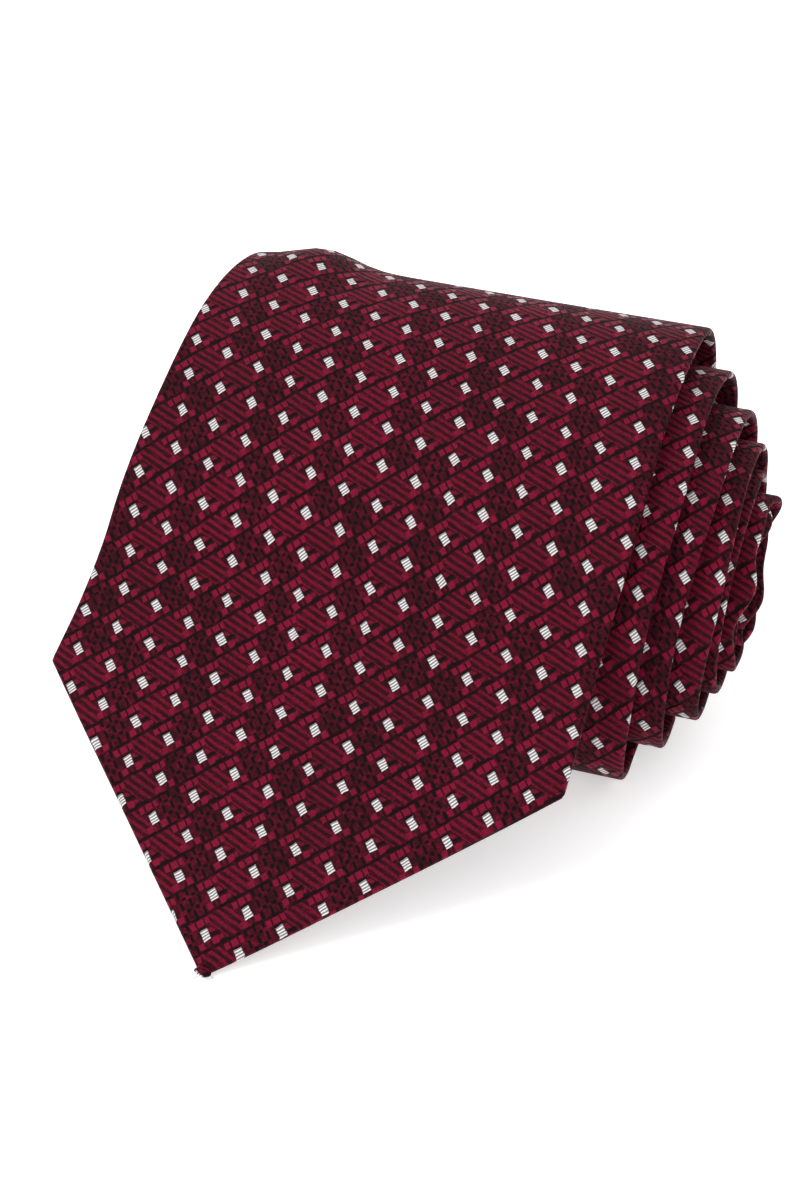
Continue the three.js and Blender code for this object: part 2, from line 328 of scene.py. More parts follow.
def hump(value, middle, spread):
    return math.exp(-(((value - middle) / spread) ** 2))


def ramp(value, low, high):
    """From 0 at low to 1 at high, and the same beyond them."""
    return max(0.0, min(1.0, (value - low) / (high - low)))


# The raised fold where the blade goes over the roll, near its left edge.
RAISED_FOLD_AT = 124
RAISED_FOLD_FROM_LEFT = 11
RAISED_FOLD_HEIGHT = 2.3
RAISED_FOLD_ALONG = 11
RAISED_FOLD_ACROSS = 6.5


def stand_off(place, x):
    """How far the cloth stands off its line at a place, from handling and rolling."""
    a = LINE.blade_place_over(place.along)
    from_left = x - LINE.at(a).left if place.along > LINE.fold_end else x - place.left
    loose = ramp(a, 3, 23) * ramp(a, 128, 98)
    wave = 0.22 * math.sin(a / 11 + x / 17) + 0.16 * math.sin(x / 9 - a / 23 + 1.3)
    along = hump(a, RAISED_FOLD_AT, RAISED_FOLD_ALONG)
    across = hump(from_left, RAISED_FOLD_FROM_LEFT, RAISED_FOLD_ACROSS)
    return loose * wave + RAISED_FOLD_HEIGHT * along * across


def edge_wander(place, side):
    """How far a folded edge strays from straight: a little everywhere, and more at the crumpled core."""
    a = place.along
    away = ramp(a, 20, 50)
    stray = away * (0.22 * math.sin(a / 13.7 + 2 * side) + 0.16 * math.sin(a / 5.9 + side))
    if side > 0:
        core = ramp(place.turns, 4.3, 5.0)
        stray += core * (1.5 + 0.6 * math.sin(a / 2.9) + 0.4 * math.sin(a / 1.7 + 1))
    return stray


# ---- Meshes ----

def tie_point(place, x, out):
    """A point of the tie in the part's frame, in millimetres."""
    facing = -1 if place.along > LINE.fold_end else 1
    off = out + facing * stand_off(place, x)
    y, z = place.point + off * place.normal
    return (x + SHIFT[0], y + SHIFT[1], max(z + SHIFT[2], 0.02))


def fabric_uv(place, unrolled_x):
    """Where a point lies on the flat cloth: across, and up from the blade's tip, in metres."""
    xi = unrolled_x - place.shift
    across = xi * math.cos(SKEW) - place.along * math.sin(SKEW)
    up = xi * math.sin(SKEW) + place.along * math.cos(SKEW)
    return across * MM, up * MM


def strip(name, places, section, material):
    """A closed solid through the outlines that section gives, each a row of (x, out, unrolled x)."""
    points, uvs = [], []
    for along in places:
        place = LINE.at(along)
        outline = section(place)
        points += [tie_point(place, x, out) for x, out, _ in outline]
        uvs += [fabric_uv(place, flat) for _, _, flat in outline]
    n = len(outline)
    faces = []
    for i in range(len(places) - 1):
        for k in range(n):
            a, b = i * n + k, i * n + (k + 1) % n
            faces.append((a, b, b + n, a + n))
    first_cap = list(range(n))[::-1]
    last_cap = [(len(places) - 1) * n + k for k in range(n)]
    return closed_mesh(name, points, faces + [first_cap, last_cap], uvs, material)


def closed_mesh(name, points, faces, uvs, material):
    mesh = bpy.data.meshes.new(name)
    mesh.from_pydata([tuple(c * MM for c in p) for p in points], [], faces)
    layer = mesh.uv_layers.new(name="fabric")
    corners = np.zeros(len(mesh.loops), dtype=np.int32)
    mesh.loops.foreach_get("vertex_index", corners)
    layer.data.foreach_set("uv", np.array(uvs, dtype=np.float32)[corners].ravel())
    if signed_volume(mesh) < 0:
        mesh.flip_normals()
    mesh.polygons.foreach_set("use_smooth", [True] * len(mesh.polygons))
    mesh.set_sharp_from_angle(angle=math.radians(50))
    mesh.materials.append(material)
    made = bpy.data.objects.new(name, mesh)
    bpy.context.scene.collection.objects.link(made)
    return made


def signed_volume(mesh):
    mesh.calc_loop_triangles()
    co = np.array([v.co for v in mesh.vertices])
    tri = np.array([t.vertices[:] for t in mesh.loop_triangles])
    a, b, c = co[tri[:, 0]], co[tri[:, 1]], co[tri[:, 2]]
    return float((a * np.cross(b, c)).sum())


def spread(start, end, steps):
    return list(np.linspace(start, end, steps + 1))


def back_opening(distance, half, tack):
    """How far the hemmed edges at the back stand from the middle, at a distance from the tip."""
    seam = BACK_SEAM_ROOM / 2 * 0.3
    widest = half - HEM
    if distance < half:
        opening = distance - HEM
    else:
        opening = widest * (tack - distance) / (tack - half)
    return max(seam, min(opening, widest))


def cloth_section(place):
    """Cloth folded over the interlining: the front, two rounded edges, and the back meeting at the middle."""
    from_tip = min(place.along, LINE.length - place.along)
    half, tack = (BLADE_HALF, BLADE_TACK) if place.along < LINE.fold_start else (TAIL_HALF, TAIL_TACK)
    left = place.left + edge_wander(place, -1)
    right = place.right + edge_wander(place, 1)
    thin = 0.55 + 0.45 * min(1, from_tip / 7)
    high = FACE * thin
    cloth = min(CLOTH, high * 0.45)
    radius = min(high, (right - left) / 2 * 0.8)
    narrow = (right - left) / 2 - radius
    opening = min(back_opening(from_tip, half, tack), narrow * 0.9)
    middle = (left + right) / 2
    ends = (left + radius, right - radius)
    turned = math.pi * high

    def arc(side, size, start, stop):
        centre = ends[0] if side < 0 else ends[1]
        made = []
        for angle in np.linspace(start, stop, EDGE_STEPS + 1):
            x = centre + size[0] * math.cos(angle)
            travelled = high * abs(angle - math.pi / 2)
            made.append((x, size[1] * math.sin(angle), centre + side * travelled))
        return made

    def back(side, x):
        end = ends[0] if side < 0 else ends[1]
        return end + side * (turned + abs(end - x))

    inner = (max(radius - cloth, 0.02), high - cloth)
    outline = [(x, high, x) for x in spread(*ends, FRONT_STEPS)[:-1]]
    outline += arc(1, (radius, high), math.pi / 2, -math.pi / 2)
    outline += [(x, -high, back(1, x)) for x in spread(ends[1], middle + opening, 8)[1:]]
    outline += [(x, cloth - high, back(1, x)) for x in spread(middle + opening, ends[1], 8)[:-1]]
    outline += arc(1, inner, -math.pi / 2, math.pi / 2)
    outline += [(x, high - cloth, x) for x in spread(ends[1], ends[0], FRONT_STEPS)[1:-1]]
    outline += arc(-1, inner, math.pi / 2, 3 * math.pi / 2)
    outline += [(x, cloth - high, back(-1, x)) for x in spread(ends[0], middle - opening, 8)[1:]]
    outline += [(x, -high, back(-1, x)) for x in spread(middle - opening, ends[0], 8)[:-1]]
    outline += arc(-1, (radius, high), 3 * math.pi / 2, math.pi / 2)[:-1]
    return outline


def slab_section(left, right, low, high, steps):
    top = [(x, high, x) for x in spread(left, right, steps)]
    bottom = [(x, low, x) for x in spread(right, left, steps)]
    return top + bottom


def layer_section(low, high):
    """A layer inside the cloth, a little short of its folded edges."""
    inset = CLOTH + LINING_INSET + 0.25

    def section(place):
        room = (place.right - place.left) / 2 - 0.1
        side = min(inset, room)
        return slab_section(place.left + side, place.right - side, low, high, 16)
    return section


def keeper_section(place):
    """A narrow band of cloth sewn to the blade's back at both ends, bridging the tail."""
    tail = LINE.at(LINE.tail_place_under(place.along))
    left, right = tail.left - KEEPER_CLEARANCE, tail.right + KEEPER_CLEARANCE
    foot = -FACE - BETWEEN_PLIES
    bridge = foot - PLY - BETWEEN_PLIES
    rise = 0.9
    outer = [
        (left - KEEPER_FOOT, foot), (left - rise, foot), (left, bridge),
        *[(x, bridge) for x in spread(left, right, 10)[1:-1]],
        (right, bridge), (right + rise, foot), (right + KEEPER_FOOT, foot),
    ]
    inner = [(x, out - KEEPER_CLOTH) for x, out in outer[::-1]]
    return [(x, out, x) for x, out in outer + inner]


def label_section(place):
    top = -FACE - (BETWEEN_PLIES - LABEL_CLOTH) / 2
    half = LABEL_WIDTH / 2
    return slab_section(place.middle - half, place.middle + half, top - LABEL_CLOTH, top, 12)


# ---- Materials ----

class Socket:
    """A socket of a material's tree, for arithmetic in Python."""

    def __init__(self, tree, socket):
        self.tree = tree
        self.socket = socket

    def node(self, kind, settings=None, inputs=None, output=0):
        """The output of a new node: its settings are set first, then the values or links of its sockets."""
        made = self.tree.nodes.new(kind)
        for name, value in (settings or {}).items():
            setattr(made, name, value)
        for key, value in (inputs or {}).items():
            if isinstance(value, Socket):
                self.tree.links.new(value.socket, made.inputs[key])
            else:
                made.inputs[key].default_value = value
        return Socket(self.tree, made.outputs[output])

    def math(self, operation, *values, clamp=False):
        inputs = dict(enumerate(values))
        return self.node("ShaderNodeMath", {"operation": operation, "use_clamp": clamp}, inputs)

    def __add__(self, other):
        return self.math("ADD", self, other)

    __radd__ = __add__

    def __sub__(self, other):
        return self.math("SUBTRACT", self, other)

    def __rsub__(self, other):
        return self.math("SUBTRACT", other, self)

    def __mul__(self, other):
        return self.math("MULTIPLY", self, other)

    __rmul__ = __mul__

    def __truediv__(self, other):
        return self.math("DIVIDE", self, other)

    def __mod__(self, other):
        return self.math("FLOORED_MODULO", self, other)

    def __abs__(self):
        return self.math("ABSOLUTE", self)

    def floor(self):
        return self.math("FLOOR", self)

    def sine(self):
        return self.math("SINE", self)

    def clamp(self):
        return self.math("ADD", self, 0.0, clamp=True)

    def most(self, other):
        return self.math("MAXIMUM", self, other)

    def band(self, middle, half, soft):
        """1 within half of middle, falling to 0 over a distance of soft."""
        return self.math("ADD", (half - abs(self - middle)) / soft, 0.5, clamp=True)


def mixed(factor, first, second):
    """Two colours mixed."""
    inputs = {0: factor, 6: first, 7: second}
    return factor.node("ShaderNodeMix", {"data_type": "RGBA"}, inputs, output=2)


def new_material(name):
    material = bpy.data.materials.new(name)
    material.use_nodes = True
    shader = material.node_tree.nodes["Principled BSDF"]
    return material, material.node_tree, shader


def set_constants(shader, **values):
    for name, value in values.items():
        shader.inputs[name.replace("_", " ")].default_value = value


def fabric_coordinates(tree):
    """Across and up on the flat cloth, in millimetres."""
    start = Socket(tree, None)
    uv = start.node("ShaderNodeUVMap", {"uv_map": "fabric"})
    split = tree.nodes.new("ShaderNodeSeparateXYZ")
    tree.links.new(uv.socket, split.inputs[0])
    return uv, Socket(tree, split.outputs[0]) * 1000, Socket(tree, split.outputs[1]) * 1000


def noise(uv, scale, detail=2.0, stretch=None, output=0):
    """Noise on the cloth with a number of cells to the millimetre."""
    source = uv
    if stretch:
        source = uv.node("ShaderNodeVectorMath", {"operation": "MULTIPLY"}, {0: uv, 1: stretch})
    inputs = {"Vector": source, "Scale": scale * 1000, "Detail": detail, "Roughness": 0.6}
    return uv.node("ShaderNodeTexNoise", {"noise_dimensions": "2D"}, inputs, output)


def link_bump(tree, shader, height, distance_mm, strength):
    bump = height.node(
        "ShaderNodeBump", {}, {"Height": height, "Strength": strength, "Distance": distance_mm * MM}
    )
    tree.links.new(bump.socket, shader.inputs["Normal"])


# The weave's own colours, as light reflected.
CHARCOAL = (0.0036, 0.0026, 0.0034, 1)
BURGUNDY = (0.080, 0.0014, 0.0100, 1)
BRIGHT_BURGUNDY = (0.215, 0.0040, 0.0290, 1)
WHITE_FLOAT = (0.82, 0.80, 0.81, 1)


def weave_cell(across, up):
    """Where a point lies in the repeat.

    The first value counts squares along a row and the second counts rows down, both from one square; x,
    measured from a square along its row, y, down from the row's middle, and the row are worked out from them
    where it is called.
    """
    (a, b), (c, d) = NEXT_SQUARE, (v / 2 for v in TWO_ROWS_DOWN)
    det = a * d - b * c
    dp, dq = across - A_SQUARE[0], up - A_SQUARE[1]
    square_count = dp * (d / det) - dq * (c / det)
    row_count = dq * (a / det) - dp * (b / det)
    return square_count, row_count


SQUARE_PITCH = math.hypot(*NEXT_SQUARE)
ROW_PITCH = math.hypot(*TWO_ROWS_DOWN) / 2
ROW_LINE = 2.84          # from a row's middle up to the thin line over it
HALF_SQUARE = SQUARE_PITCH / 2


def jacquard_material():
    """Burgundy blocks, slanting ribs and small checks on charcoal, with white squares of four floats each."""
    material, tree, shader = new_material("burgundy_jacquard")
    uv, across, up = fabric_coordinates(tree)
    waver = noise(uv, 0.45, 2.0)
    waver_y = noise(uv, 0.6, 2.0, stretch=(1.0, 1.3, 1.0))
    squares, rows = weave_cell(across + (waver - 0.5) * 0.35, up + (waver_y - 0.5) * 0.35)
    row = (rows + ROW_LINE / ROW_PITCH).floor()
    y = (rows - row) * ROW_PITCH
    step = (row + 1) % ROWS_IN_REPEAT
    x = ((squares * 2 + step + 1) % 4) * HALF_SQUARE
    s = (x + HALF_SQUARE) % SQUARE_PITCH - HALF_SQUARE
    rib_side = x.band(HALF_SQUARE, HALF_SQUARE, 0.3)

    # bright blocks over and under each square
    top = y.band(-1.93, 0.58, 0.16) * (
        s.band(-1.16, 0.42, 0.16) + s.band(0, 0.54, 0.16) + s.band(1.07, 0.37, 0.16)
    )
    low = y.band(1.42, 0.55, 0.16) * (
        s.band(-1.08, 0.48, 0.18) + 0.6 * s.band(0, 0.24, 0.14) + s.band(1.05, 0.5, 0.2)
    )
    triangle = (s + y * -0.6).band(1.25, 0.42, 0.25) * y.band(-0.35, 0.45, 0.2)
    wedge = s.band(1.9, 0.5, 0.3) * y.band(1.3, 0.4, 0.25)
    blocks = (top + low + 0.8 * rib_side * (triangle + wedge)).clamp()

    # slanting ribs between one pair of squares
    slant = x - 0.5 * y
    in_ribs = slant.band(3.75, 2.05, 0.5) * y.band(-0.3, 2.35, 0.2)
    rib_wave = ((slant - 3.0) * (2 * math.pi / 1.17) + math.pi / 2).sine()
    ribs = in_ribs * (rib_wave * 0.9 + 0.75).clamp()

    # small dark checks between the next pair
    c = x - 3 * HALF_SQUARE
    in_checks = c.band(0, 2.3, 0.3)
    columns = c.band(-1.39, 0.17, 0.12) + c.band(0, 0.17, 0.12) + c.band(1.39, 0.17, 0.12)
    tall = y.band(-2.28, 0.5, 0.16) + y.band(-0.48, 0.62, 0.16) + y.band(1.48, 0.62, 0.16)
    between = c.band(-0.7, 0.27, 0.16) + c.band(0.7, 0.27, 0.16)
    short = y.band(-1.5, 0.2, 0.16) + y.band(0.5, 0.28, 0.16)
    dark_checks = in_checks * (columns * tall + between * short).clamp()

    broken = (noise(uv, 0.8, 1.0) * 3 - 0.75).clamp()
    row_line = broken * y.band(-ROW_LINE + 0.1, 0.12, 0.16).most(y.band(ROW_PITCH - ROW_LINE, 0.09, 0.14))
    over_square = s.band(0, 0.66, 0.16) * y.band(-1.02, 0.14, 0.14)
    beside_square = rib_side * s.band(1.45, 0.65, 0.3) * y.band(0.42, 0.2, 0.16)
    under_ribs = rib_side * x.band(2.4, 0.9, 0.4) * y.band(2.05, 0.14, 0.14)
    dark = (dark_checks + row_line + over_square + 0.9 * beside_square + 0.8 * under_ribs).clamp()

    # the yarns themselves, and how unevenly they lie
    yarn = ((y * (2 * math.pi / 0.27)).sine() * 0.5 + 0.5)
    fleck = noise(uv, 2.6, 2.0)
    patchy = noise(uv, 0.05, 2.0)
    uneven = noise(uv, 0.7, 2.0)
    ground = 0.42 + 0.8 * (uneven - 0.5) + 0.12 * in_checks
    burgundy = ground.most(0.78 * ribs).most(blocks)
    burgundy = (burgundy * (1 - dark)) * (0.62 + 0.38 * yarn) * (0.55 + 0.9 * fleck)
    burgundy = (burgundy * (0.8 + 0.4 * patchy)).clamp()

    # the white squares: four short floats side by side
    bar_y = y + 0.07 * s
    bars = ((bar_y * (2 * math.pi / 0.435) + math.pi).sine() * 0.9 + 0.72).clamp()
    square = s.band(0, 0.585, 0.1) * bar_y.band(0, 0.87, 0.08)
    white = square * (0.25 + 0.75 * bars)

    colour = mixed(burgundy, CHARCOAL, BURGUNDY)
    colour = mixed((burgundy * 1.9 - 0.75).clamp(), colour, BRIGHT_BURGUNDY)
    colour = mixed(white, colour, WHITE_FLOAT)
    tree.links.new(colour.socket, shader.inputs["Base Color"])
    roughness = 0.62 - 0.2 * blocks - 0.1 * ribs
    tree.links.new(roughness.socket, shader.inputs["Roughness"])
    height = 0.5 * blocks + 0.35 * ribs + 0.75 * square * bars + 0.12 * yarn - 0.45 * dark + 0.12 * fleck
    link_bump(tree, shader, height, 0.22, 1.0)
    set_constants(shader, Specular_IOR_Level=0.06)
    return material


def felt_material():
    """Brushed wool interlining: a cream felt with short hairs."""
    material, tree, shader = new_material("interlining_felt")
    uv, _, _ = fabric_coordinates(tree)
    hairs = noise(uv, 1.4, 4.0, stretch=(1.0, 0.35, 1.0))
    cloudy = noise(uv, 0.08, 2.0)
    shade = (hairs * 0.7 + cloudy * 0.5 - 0.1).clamp()
    colour = mixed(shade, (0.52, 0.47, 0.38, 1), (0.78, 0.73, 0.64, 1))
    tree.links.new(colour.socket, shader.inputs["Base Color"])
    link_bump(tree, shader, hairs, 0.25, 0.6)
    set_constants(shader, Roughness=0.95, Specular_IOR_Level=0.2, Sheen_Weight=0.4)
    return material


def twill_material(name, dark, light, pitch, gloss):
    """A fine twill: slanting ribs with a silky face."""
    material, tree, shader = new_material(name)
    uv, across, up = fabric_coordinates(tree)
    lie = noise(uv, 0.5, 2.0)
    slant = (across + up * 0.6 + lie * 0.12) * (2 * math.pi / pitch)
    rib = slant.sine() * 0.5 + 0.5
    weft = ((up - across * 0.2) * (2 * math.pi / (pitch * 0.6))).sine() * 0.5 + 0.5
    shade = (rib * 0.7 + weft * 0.3) * (0.75 + 0.5 * lie)
    colour = mixed(shade.clamp(), dark, light)
    tree.links.new(colour.socket, shader.inputs["Base Color"])
    link_bump(tree, shader, rib + 0.5 * weft, 0.06, 0.6)
    set_constants(shader, Roughness=gloss, Specular_IOR_Level=0.5, Sheen_Weight=0.1)
    return material


def thread_material():
    """Twisted sewing thread."""
    material, tree, shader = new_material("sewing_thread")
    start = Socket(tree, None)
    place = start.node("ShaderNodeTexCoord", output=3)
    ply = start.node("ShaderNodeTexWave", {"wave_type": "BANDS", "bands_direction": "DIAGONAL"},
                     {"Vector": place, "Scale": 900.0, "Distortion": 1.5})
    colour = mixed(Socket(tree, ply.socket.node.outputs[1]), (0.05, 0.006, 0.012, 1), (0.17, 0.02, 0.04, 1))
    tree.links.new(colour.socket, shader.inputs["Base Color"])
    link_bump(tree, shader, Socket(tree, ply.socket.node.outputs[1]), 0.05, 0.5)
    set_constants(shader, Roughness=0.55, Sheen_Weight=0.2)
    return material


JACQUARD = jacquard_material()
FELT = felt_material()
TIPPING_TWILL = twill_material("tipping_twill", (0.006, 0.007, 0.009, 1), (0.03, 0.033, 0.038, 1), 0.5, 0.38)
LABEL_SATIN = twill_material("label_satin", (0.01, 0.01, 0.012, 1), (0.05, 0.05, 0.055, 1), 0.3, 0.32)
THREAD = thread_material()


# ---- Pieces ----

def point_on_line(along, out=0.0):
    place = LINE.at(along)
    x, y, z = tie_point(place, (place.left + place.right) / 2, out)
    return Vector((x, y, z)) * MM


def bends_with_flap(piece):
    """The piece's place is baked into its mesh, and it is left attached to no body; the roll, the flap and the
    two places given are not used.
    """
    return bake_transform(piece, "roll", "flap", start=point_on_line(BEND_STARTS), end=point_on_line(BEND_ENDS))


def band_area(start, end):
    """The cloth's flat area between two places, front and back, in square metres."""
    places = np.linspace(start, end, 60)
    widths = [LINE.at(a).right - LINE.at(a).left for a in places]
    return 2 * float(np.mean(widths)) * (end - start) * MM * MM


def cloth_piece(name, start, end, nodes, bending):
    corners = [BLADE_HALF, BLADE_TACK, HEM]
    corners += [LINE.length - TAIL_HALF, LINE.length - TAIL_TACK, LINE.length - HEM]
    inside = [c for c in corners if start < c < end]
    made = strip(name, LINE.between(start, end, inside), cloth_section, JACQUARD)
    if bending:
        bends_with_flap(made)
    else:
        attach(made, "roll")
    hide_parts(*nodes)
    widest = max(LINE.at(a).right - LINE.at(a).left for a in np.linspace(start, end, 30))
    flat = (2 * widest * MM, (end - start) * MM)
    area = min(band_area(start, end), flat[0] * flat[1])
    return made


def inner_piece(name, start, end, section, material, nodes, bending):
    made = strip(name, LINE.between(start, end), section, material)
    if bending:
        bends_with_flap(made)
    else:
        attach(made, "roll")
    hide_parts(*nodes)
    widest = max(LINE.at(a).right - LINE.at(a).left for a in np.linspace(start, end, 30))
    flat = (widest * MM, (end - start) * MM)
    area = min(band_area(start, end) / 2, flat[0] * flat[1])
    return made


BLUNT_TIP = 1.0
FULL = layer_section(-LINING_FACE, LINING_FACE)
TIPPED = layer_section(-LINING_FACE + TIPPING + LAYER_GAP, LINING_FACE)
TIPPING_LAYER = layer_section(-LINING_FACE, -LINING_FACE + TIPPING)

cloth_piece("blade_cloth_front", BLUNT_TIP, BENDING_END, ["blade_flap_shell"], True)
cloth_piece("blade_cloth_rolled", BENDING_END, BLADE_SEAM, ["blade_shell"], False)
cloth_piece("neck_cloth", BLADE_SEAM, TAIL_SEAM, ["neck_shell"], False)
cloth_piece("tail_cloth_rolled", TAIL_SEAM, TAIL_BENDING_END, ["tail_shell"], False)
cloth_piece("tail_cloth_front", TAIL_BENDING_END, LINE.length - BLUNT_TIP, ["tail_flap_shell"], True)

inner_piece("interlining_front", LINING_FROM_TIP, BENDING_END, TIPPED, FELT,
            ["blade_flap_interlining"], True)
inner_piece("interlining_rolled", BENDING_END, TAIL_BENDING_END, FULL, FELT,
            ["interlining"], False)
inner_piece("tail_interlining_front", TAIL_BENDING_END, LINE.length - LINING_FROM_TIP, TIPPED, FELT,
            ["tail_flap_interlining"], True)
inner_piece("blade_tipping_lining", LINING_FROM_TIP, BLADE_TACK + TACK_LENGTH + TIPPING_PAST_TACK,
            TIPPING_LAYER, TIPPING_TWILL, ["blade_tipping"], True)
inner_piece("tail_tipping_lining", LINE.length - TAIL_TACK - TACK_LENGTH - TIPPING_PAST_TACK,
            LINE.length - LINING_FROM_TIP, TIPPING_LAYER, TIPPING_TWILL, ["tail_tipping"], True)

KEEPER_START = LINE.place_at_turns((LEAVES_ROLL_AT + math.pi) / (2 * math.pi)) - KEEPER_LENGTH / 2
keeper_places = LINE.between(KEEPER_START, KEEPER_START + KEEPER_LENGTH)
keeper = strip("keeper_band", keeper_places, keeper_section, JACQUARD)
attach(keeper, "roll")
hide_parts("keeper_loop")
label_places = LINE.between(LABEL_AT, LABEL_AT + LABEL_LENGTH)
label = strip("care_label_blank", label_places, label_section, LABEL_SATIN)
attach(label, "roll")
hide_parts("care_label")


# ---- Stitches, each row set out by a tree ----

def stitch_tree():
    """Short bowed stitches along a line, each lying as the line's own lay says."""
    tree = bpy.data.node_groups.new("stitch_row", "GeometryNodeTree")
    sockets = tree.interface
    sockets.new_socket("Line", in_out="INPUT", socket_type="NodeSocketGeometry")
    for name in ("Spacing", "Stitch length", "Thread radius", "Bow"):
        sockets.new_socket(name, in_out="INPUT", socket_type="NodeSocketFloat")
    sockets.new_socket("Thread", in_out="INPUT", socket_type="NodeSocketMaterial")
    sockets.new_socket("Stitches", in_out="OUTPUT", socket_type="NodeSocketGeometry")

    def add(kind, **settings):
        made = tree.nodes.new(kind)
        for name, value in settings.items():
            setattr(made, name, value)
        return made

    given = add("NodeGroupInput")
    line = add("GeometryNodeMeshToCurve")
    spaced = add("GeometryNodeResampleCurve", mode="LENGTH")
    half = add("ShaderNodeMath", operation="MULTIPLY")
    half.inputs[1].default_value = 0.5
    other_half = add("ShaderNodeMath", operation="MULTIPLY")
    other_half.inputs[1].default_value = -0.5
    first, bow, last = (add("ShaderNodeCombineXYZ") for _ in range(3))
    arc = add("GeometryNodeCurveQuadraticBezier")
    arc.inputs["Resolution"].default_value = 5
    ring = add("GeometryNodeCurvePrimitiveCircle")
    ring.inputs["Resolution"].default_value = 6
    swept = add("GeometryNodeCurveToMesh")
    swept.inputs["Fill Caps"].default_value = True
    lay = add("GeometryNodeInputNamedAttribute", data_type="FLOAT_VECTOR")
    lay.inputs["Name"].default_value = "lay"
    turned = add("FunctionNodeAlignRotationToVector", axis="X")
    placed = add("GeometryNodeInstanceOnPoints")
    real = add("GeometryNodeRealizeInstances")
    painted = add("GeometryNodeSetMaterial")
    given_out = add("NodeGroupOutput")
    link = tree.links.new
    link(given.outputs["Line"], line.inputs[0])
    link(line.outputs[0], spaced.inputs["Curve"])
    link(given.outputs["Spacing"], spaced.inputs["Length"])
    link(given.outputs["Stitch length"], half.inputs[0])
    link(given.outputs["Stitch length"], other_half.inputs[0])
    link(other_half.outputs[0], first.inputs[0])
    link(half.outputs[0], last.inputs[0])
    link(given.outputs["Bow"], bow.inputs[2])
    link(first.outputs[0], arc.inputs["Start"])
    link(bow.outputs[0], arc.inputs["Middle"])
    link(last.outputs[0], arc.inputs["End"])
    link(given.outputs["Thread radius"], ring.inputs["Radius"])
    link(arc.outputs[0], swept.inputs["Curve"])
    link(ring.outputs[0], swept.inputs["Profile Curve"])
    link(lay.outputs[0], turned.inputs["Vector"])
    link(spaced.outputs[0], placed.inputs["Points"])
    link(swept.outputs[0], placed.inputs["Instance"])
    link(turned.outputs[0], placed.inputs["Rotation"])
    link(placed.outputs[0], real.inputs[0])
    link(real.outputs[0], painted.inputs["Geometry"])
    link(given.outputs["Thread"], painted.inputs["Material"])
    link(painted.outputs[0], given_out.inputs[0])
    return tree


STITCH_TREE = stitch_tree()


def stitch_row(name, points, lays, spacing, length, radius, nodes, bending):
    """A row of stitches along points, in millimetres, as one plain mesh."""
    guide = bpy.data.meshes.new(name + "_line")
    edges = [(i, i + 1) for i in range(len(points) - 1)]
    guide.from_pydata([tuple(c * MM for c in p) for p in points], edges, [])
    lay = guide.attributes.new("lay", "FLOAT_VECTOR", "POINT")
    lay.data.foreach_set("vector", np.array(lays, dtype=np.float32).ravel())
    holder = bpy.data.objects.new(name + "_line", guide)
    bpy.context.scene.collection.objects.link(holder)
    modifier = holder.modifiers.new("stitches", "NODES")
    modifier.node_group = STITCH_TREE
    identifiers = {i.name: i.identifier for i in STITCH_TREE.interface.items_tree if i.in_out == "INPUT"}
    modifier[identifiers["Spacing"]] = spacing * MM
    modifier[identifiers["Stitch length"]] = length * MM
    modifier[identifiers["Thread radius"]] = radius * MM
    modifier[identifiers["Bow"]] = radius * 0.8 * MM
    modifier[identifiers["Thread"]] = THREAD
    evaluated = holder.evaluated_get(bpy.context.evaluated_depsgraph_get())
    mesh = bpy.data.meshes.new_from_object(evaluated)
    bpy.data.objects.remove(holder)
    mesh.polygons.foreach_set("use_smooth", [True] * len(mesh.polygons))
    made = bpy.data.objects.new(name, mesh)
    bpy.context.scene.collection.objects.link(made)
    if bending:
        bends_with_flap(made)
    else:
        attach(made, "roll")
    if nodes:
        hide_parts(*nodes)
    return made


SEAM_DEPTH = -FACE + 0.02      # the stitches lie in the back seam, just under its surface


def seam_line(start, end, step):
    """Points and directions along the middle of the back."""
    places = [LINE.at(a) for a in np.arange(start, end, step)]
    points = [tie_point(p, (p.left + p.right) / 2, SEAM_DEPTH) for p in places]
    lays = np.gradient(np.array(points), axis=0)
    return points, lays


def slip_stitches(name, start, end, nodes, bending):
    points, lays = seam_line(start, end, 1.0)
    stitch_row(name, points, lays, 3.2, 2.4, 0.09, nodes, bending)


def bar_tack(name, start, nodes, bending):
    points, _ = seam_line(start, start + TACK_LENGTH, 0.25)
    lays = [(1, 0.15, 0)] * len(points)
    stitch_row(name, points, lays, 0.42, 3.0, 0.1, nodes, bending)


def join_stitches(name, along, nodes):
    """The machine stitches across a join of the cloth."""
    place = LINE.at(along)
    xs = np.arange(place.left + 1.2, place.right - 1.2, 0.5)
    points = [tie_point(place, x, -FACE + CLOTH + 0.1) for x in xs]
    stitch_row(name, points, [(1, 0, 0)] * len(points), 2.0, 1.7, 0.09, nodes, False)


slip_stitches("slip_stitches_front", BLADE_TACK + TACK_LENGTH + 1, BENDING_END, [], True)
slip_stitches("slip_stitches_rolled", BENDING_END, TAIL_BENDING_END, ["slip_stitch_thread"], False)
slip_stitches("slip_stitches_tail", TAIL_BENDING_END, LINE.length - TAIL_TACK - TACK_LENGTH - 1, [], True)
bar_tack("blade_bar_tack_stitches", BLADE_TACK, ["blade_bar_tack"], True)
bar_tack("tail_bar_tack_stitches", LINE.length - TAIL_TACK - TACK_LENGTH, ["tail_bar_tack"], True)
join_stitches("blade_join_stitches", BLADE_SEAM, ["blade_seam_stitching"])
join_stitches("tail_join_stitches", TAIL_SEAM, ["tail_seam_stitching"])


# ---- The tip, where the folded cloth gathers into a small worn knot ----

KNOT_RADIUS = 0.95
KNOT_RINGS = 12
KNOT_SIDES = 16
FIBRES = 9


